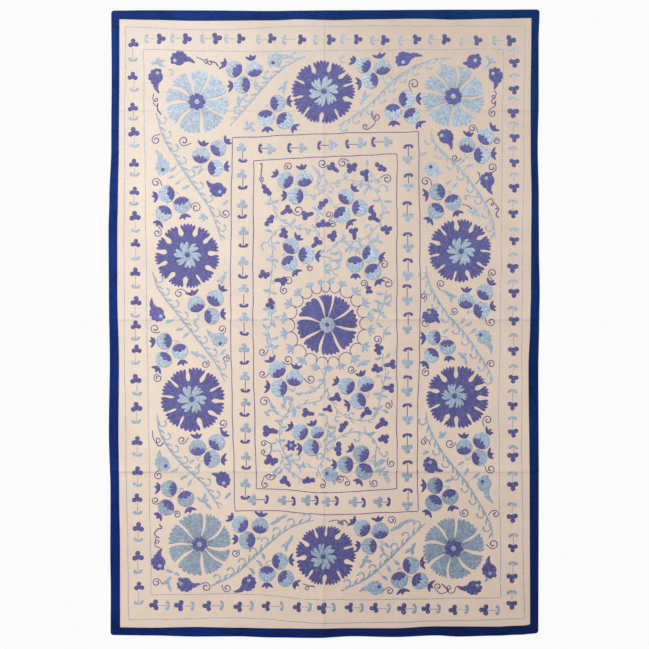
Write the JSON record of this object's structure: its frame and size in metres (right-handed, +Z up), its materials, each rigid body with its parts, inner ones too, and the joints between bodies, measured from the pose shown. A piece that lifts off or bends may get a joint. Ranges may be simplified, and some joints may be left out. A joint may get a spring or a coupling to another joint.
{
  "type": "suzani embroidered textile",
  "caption": "Flat rectangular cotton cover of seamed panels, embroidered in blue thread with rosettes, pomegranates and vines, bound on all sides with a folded dark blue edging.",
  "frame": {"origin": "on the surface the cloth lies on, below the middle of its outline", "axes": "+X across the width, +Y along the length towards the top edge of the design, +Z up out of the embroidered face"},
  "size_m": [1.4698, 2.143, 0.006],
  "materials": {
    "ground_cotton": "plain-woven cream cotton, matt",
    "edging_cotton": "plain-woven dark blue cotton, matt",
    "indigo_thread": "indigo embroidery thread with a soft sheen",
    "sky_thread": "pale blue embroidery thread with a soft sheen"
  },
  "bodies": {
    "root": {"ground_panel_left": "ground_cotton", "ground_panel_middle": "ground_cotton", "ground_panel_right": "ground_cotton", "edging_left": "edging_cotton", "edging_right": "edging_cotton", "edging_bottom": "edging_cotton", "edging_top": "edging_cotton"}
  },
  "joints": []
}
